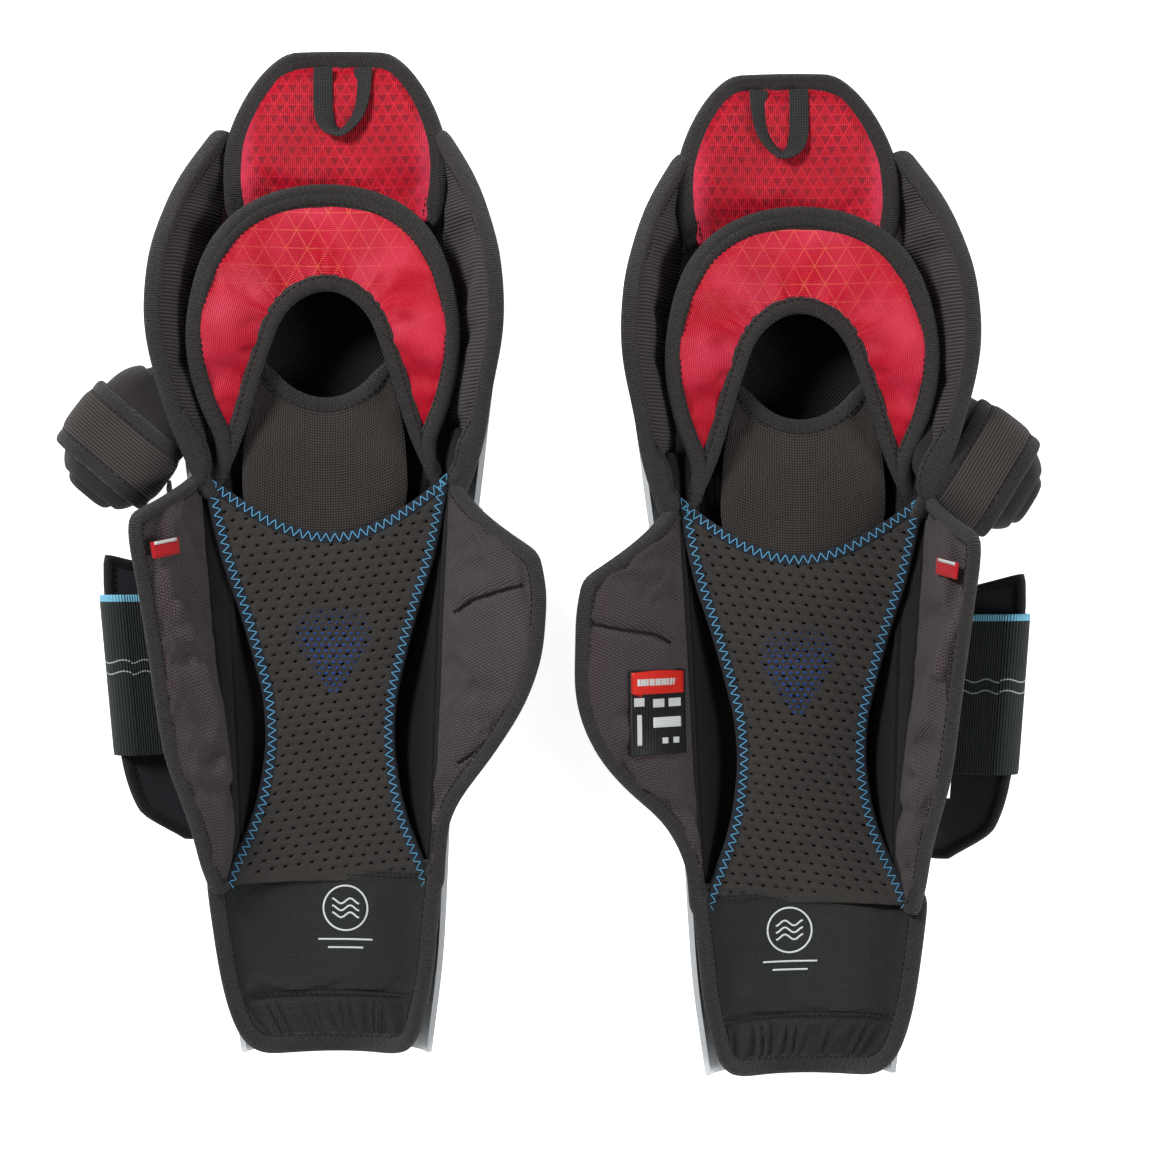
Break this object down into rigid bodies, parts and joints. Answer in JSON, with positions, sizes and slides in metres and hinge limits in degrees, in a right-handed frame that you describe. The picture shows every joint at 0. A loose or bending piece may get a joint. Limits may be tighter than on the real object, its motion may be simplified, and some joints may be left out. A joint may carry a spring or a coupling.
{
  "type": "hockey shin guards",
  "caption": "Pair of ice hockey shin guards with moulded shells, pivoting knee caps, tilting thigh guards, elastic slings, calf flaps and outer straps.",
  "frame": {"origin": "middle of the pair's outline, at floor level", "axes": "+Y from the ankle to the thigh, +Z from the floor up to the leg side, +X across the pair"},
  "size_m": [0.5312, 0.5478, 0.1264],
  "materials": {
    "white_shell": "glossy moulded",
    "blue_shell": "satin moulded",
    "black_plastic": "fine grain",
    "steel": "nickel plated",
    "lining": "brushed knit over foam",
    "hook_tape": "hook and loop",
    "foam": "open cell foam",
    "sling_mesh": "perforated elastic",
    "nylon": "plain woven",
    "grey_weave": "basket weave",
    "flap_knit": "textured knit",
    "wing_knit": "ribbed knit",
    "red_print": "satin knit with a printed triangle lattice",
    "webbing": "flat woven tape",
    "elastic": "ribbed elastic with a light blue edge",
    "neoprene": "ribbed neoprene with bound edges",
    "red_tape": "satin tape",
    "label": "printed satin"
  },
  "bodies": {
    "left_shin": {"left_shin_shell": "white_shell", "left_shin_ridge": "blue_shell", "left_shin_lining": "lining", "left_shin_patches": "hook_tape", "left_knee_pins": "steel", "left_air_sling": "sling_mesh", "left_ankle_panel": "nylon", "left_ankle_cuff": "nylon", "left_tongue_pad": "grey_weave", "left_strap_anchors": "black_plastic", "left_shell_rivets": "steel"},
    "left_outer_wrap": {"left_outer_flap": "flap_knit", "left_side_tag": "red_tape"},
    "left_inner_wrap": {"left_inner_flap": "flap_knit", "left_inner_flap_plate": "black_plastic"},
    "left_knee": {"left_knee_cap": "white_shell", "left_knee_bumper": "blue_shell", "left_cup_lining": "lining", "left_knee_cushion": "red_print", "left_cushion_base": "foam", "left_outer_knee_wing": "wing_knit", "left_inner_knee_wing": "wing_knit"},
    "left_thigh": {"left_thigh_pad": "red_print", "left_thigh_plate": "black_plastic", "left_thigh_webs": "webbing"},
    "left_loop": {"left_pull_loop": "webbing"},
    "left_fin": {"left_strap_wing": "black_plastic"},
    "left_band": {"left_calf_strap": "elastic"},
    "left_roll": {"left_knee_strap": "neoprene"},
    "right_shin": {"right_shin_shell": "white_shell", "right_shin_ridge": "blue_shell", "right_shin_lining": "lining", "right_shin_patches": "hook_tape", "right_knee_pins": "steel", "right_air_sling": "sling_mesh", "right_ankle_panel": "nylon", "right_ankle_cuff": "nylon", "right_tongue_pad": "grey_weave", "right_strap_anchors": "black_plastic", "right_shell_rivets": "steel"},
    "right_outer_wrap": {"right_outer_flap": "flap_knit", "right_side_tag": "red_tape"},
    "right_inner_wrap": {"right_inner_flap": "flap_knit", "right_inner_flap_plate": "black_plastic", "right_size_label": "label"},
    "right_knee": {"right_knee_cap": "white_shell", "right_knee_bumper": "blue_shell", "right_cup_lining": "lining", "right_knee_cushion": "red_print", "right_cushion_base": "foam", "right_outer_knee_wing": "wing_knit", "right_inner_knee_wing": "wing_knit"},
    "right_thigh": {"right_thigh_pad": "red_print", "right_thigh_plate": "black_plastic", "right_thigh_webs": "webbing"},
    "right_loop": {"right_pull_loop": "webbing"},
    "right_fin": {"right_strap_wing": "black_plastic"},
    "right_band": {"right_calf_strap": "elastic"},
    "right_roll": {"right_knee_strap": "neoprene"}
  },
  "joints": [
    {"name": "right_guard_slide", "type": "slide", "parent": "left_shin", "child": "right_shin", "axis": [1, 0, 0], "range_m": [0, 0.12]},
    {"name": "left_knee_flex", "type": "hinge", "parent": "left_shin", "child": "left_knee", "pos_m": [-0.11917, 0.0299, 0.047], "axis": [1, 0, 0], "range_deg": [0, 15]},
    {"name": "left_thigh_tilt", "type": "hinge", "parent": "left_knee", "child": "left_thigh", "pos_m": [-0.11917, 0.1889, 0.044], "axis": [1, 0, 0], "range_deg": [-4, 22]},
    {"name": "left_loop_swing", "type": "hinge", "parent": "left_thigh", "child": "left_loop", "pos_m": [-0.11917, 0.2649, 0.0533], "axis": [-1, 0, 0], "range_deg": [0, 120]},
    {"name": "left_outer_wrap_fold", "type": "hinge", "parent": "left_shin", "child": "left_outer_wrap", "pos_m": [-0.16517, -0.2411, 0.05], "axis": [-0.0531, 0.9975, 0.046], "range_deg": [-15, 40]},
    {"name": "left_inner_wrap_fold", "type": "hinge", "parent": "left_shin", "child": "left_inner_wrap", "pos_m": [-0.07317, -0.2411, 0.05], "axis": [-0.0531, -0.9975, -0.046], "range_deg": [-6, 50]},
    {"name": "left_fin_flex", "type": "hinge", "parent": "left_shin", "child": "left_fin", "pos_m": [-0.18597, -0.1431, 0.0365], "axis": [0.0059, -1, -0.0074], "range_deg": [-6, 16], "stiffness_Nm_per_rad": 1.5},
    {"name": "left_band_slide", "type": "slide", "parent": "left_fin", "child": "left_band", "axis": [-0.0821, 0.9943, 0.0685], "range_m": [-0.004, 0.004]},
    {"name": "left_roll_swing", "type": "hinge", "parent": "left_shin", "child": "left_roll", "pos_m": [-0.19567, 0.0049, 0.046], "axis": [0, 1, 0], "range_deg": [-8, 0]},
    {"name": "right_knee_flex", "type": "hinge", "parent": "right_shin", "child": "right_knee", "pos_m": [0.12826, 0.01786, 0.047], "axis": [0.9999, 0.0157, 0], "range_deg": [0, 15]},
    {"name": "right_thigh_tilt", "type": "hinge", "parent": "right_knee", "child": "right_thigh", "pos_m": [0.12576, 0.17684, 0.044], "axis": [0.9999, 0.0157, 0], "range_deg": [-4, 22]},
    {"name": "right_loop_swing", "type": "hinge", "parent": "right_thigh", "child": "right_loop", "pos_m": [0.12457, 0.25283, 0.0533], "axis": [-0.9999, -0.0157, 0], "range_deg": [0, 120]},
    {"name": "right_outer_wrap_fold", "type": "hinge", "parent": "right_shin", "child": "right_outer_wrap", "pos_m": [0.17851, -0.25238, 0.05], "axis": [-0.0374, -0.9982, -0.046], "range_deg": [-15, 40]},
    {"name": "right_inner_wrap_fold", "type": "hinge", "parent": "right_shin", "child": "right_inner_wrap", "pos_m": [0.08652, -0.25383, 0.05], "axis": [-0.0687, 0.9966, 0.046], "range_deg": [-6, 50]},
    {"name": "right_fin_flex", "type": "hinge", "parent": "right_shin", "child": "right_fin", "pos_m": [0.19777, -0.15407, 0.0365], "axis": [-0.0098, 0.9999, 0.0074], "range_deg": [-6, 16], "stiffness_Nm_per_rad": 1.5},
    {"name": "right_band_slide", "type": "slide", "parent": "right_fin", "child": "right_band", "axis": [0.0665, 0.9954, 0.0685], "range_m": [-0.004, 0.004]},
    {"name": "right_roll_swing", "type": "hinge", "parent": "right_shin", "child": "right_roll", "pos_m": [0.20514, -0.00593, 0.046], "axis": [0.0157, -0.9999, 0], "range_deg": [-8, 0]}
  ]
}
